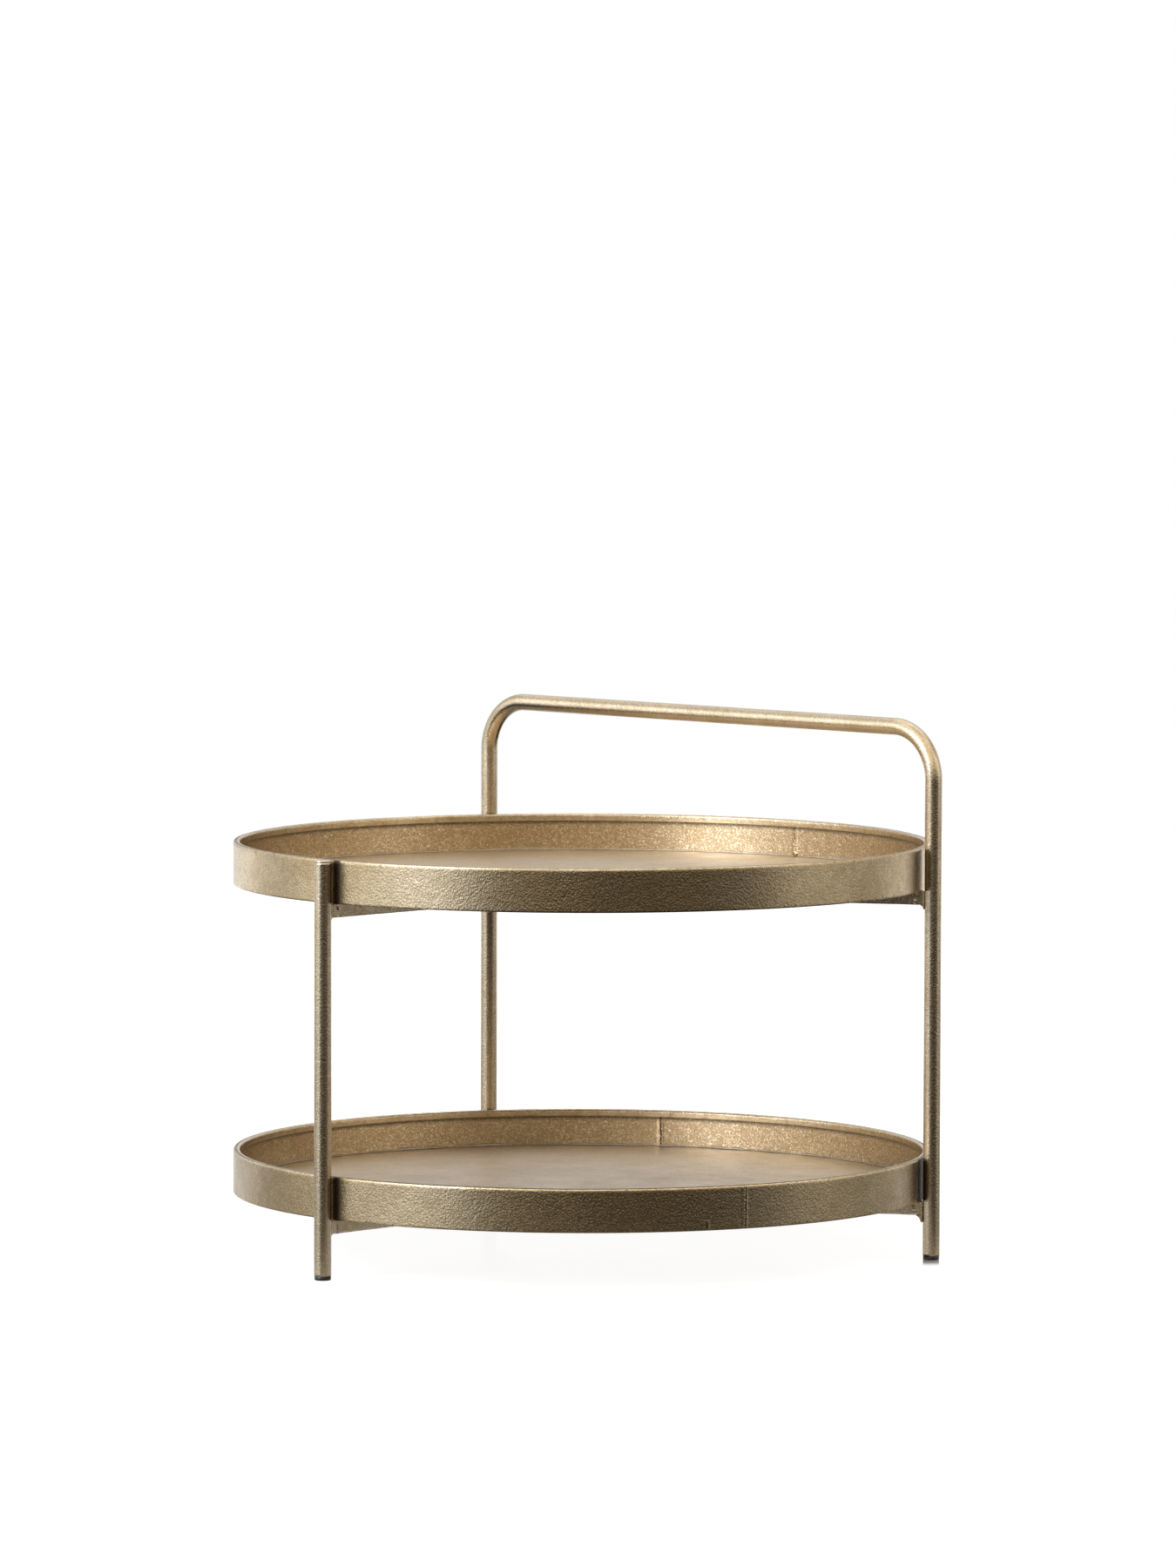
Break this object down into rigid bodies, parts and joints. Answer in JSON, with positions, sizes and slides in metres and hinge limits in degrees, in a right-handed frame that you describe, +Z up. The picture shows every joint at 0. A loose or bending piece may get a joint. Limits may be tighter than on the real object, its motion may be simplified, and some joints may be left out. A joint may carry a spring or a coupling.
{
  "type": "coffee table",
  "caption": "Round two-tier metal coffee table with rimmed trays on tube legs, two of them joined overhead by a bent carrying handle.",
  "frame": {"origin": "on the floor, below the middle of the footprint; the trays' axis stands 8.8 mm from it towards +Y", "axes": "+Z up; the handle and the two joined legs are on the +Y side, the short leg on -Y; the handle's bar runs along X"},
  "size_m": [0.6499, 0.6675, 0.5],
  "materials": {
    "tray_wall_leaf": "antique champagne-gold metal leaf over steel, pebbled and rubbed",
    "tray_floor_leaf": "antique champagne-gold metal leaf over steel, smooth satin",
    "tube_leaf": "antique champagne-gold metal leaf over steel tube, satin",
    "arm_leaf": "antique champagne-gold metal leaf over steel bar, rough",
    "weld_leaf": "leafed weld bead, rough",
    "foot_plastic": "black polyethylene"
  },
  "bodies": {
    "root": {"handle_hoop": "tube_leaf", "front_leg": "tube_leaf", "front_leg_cap": "tube_leaf", "foot_right": "foot_plastic", "foot_back": "foot_plastic", "foot_front": "foot_plastic", "upper_tray_wall": "tray_wall_leaf", "upper_tray_floor": "tray_floor_leaf", "upper_floor_weld": "weld_leaf", "upper_wall_seam": "weld_leaf", "lower_tray_wall": "tray_wall_leaf", "lower_tray_floor": "tray_floor_leaf", "lower_floor_weld": "weld_leaf", "lower_wall_seam": "weld_leaf", "upper_arm_right": "arm_leaf", "upper_arm_back": "arm_leaf", "upper_arm_front": "arm_leaf", "lower_arm_right": "arm_leaf", "lower_arm_back": "arm_leaf", "lower_arm_front": "arm_leaf", "upper_leg_welds": "weld_leaf", "upper_hub_welds": "weld_leaf", "upper_tack_welds": "weld_leaf", "lower_leg_welds": "weld_leaf", "lower_hub_welds": "weld_leaf", "lower_tack_welds": "weld_leaf"}
  },
  "joints": []
}
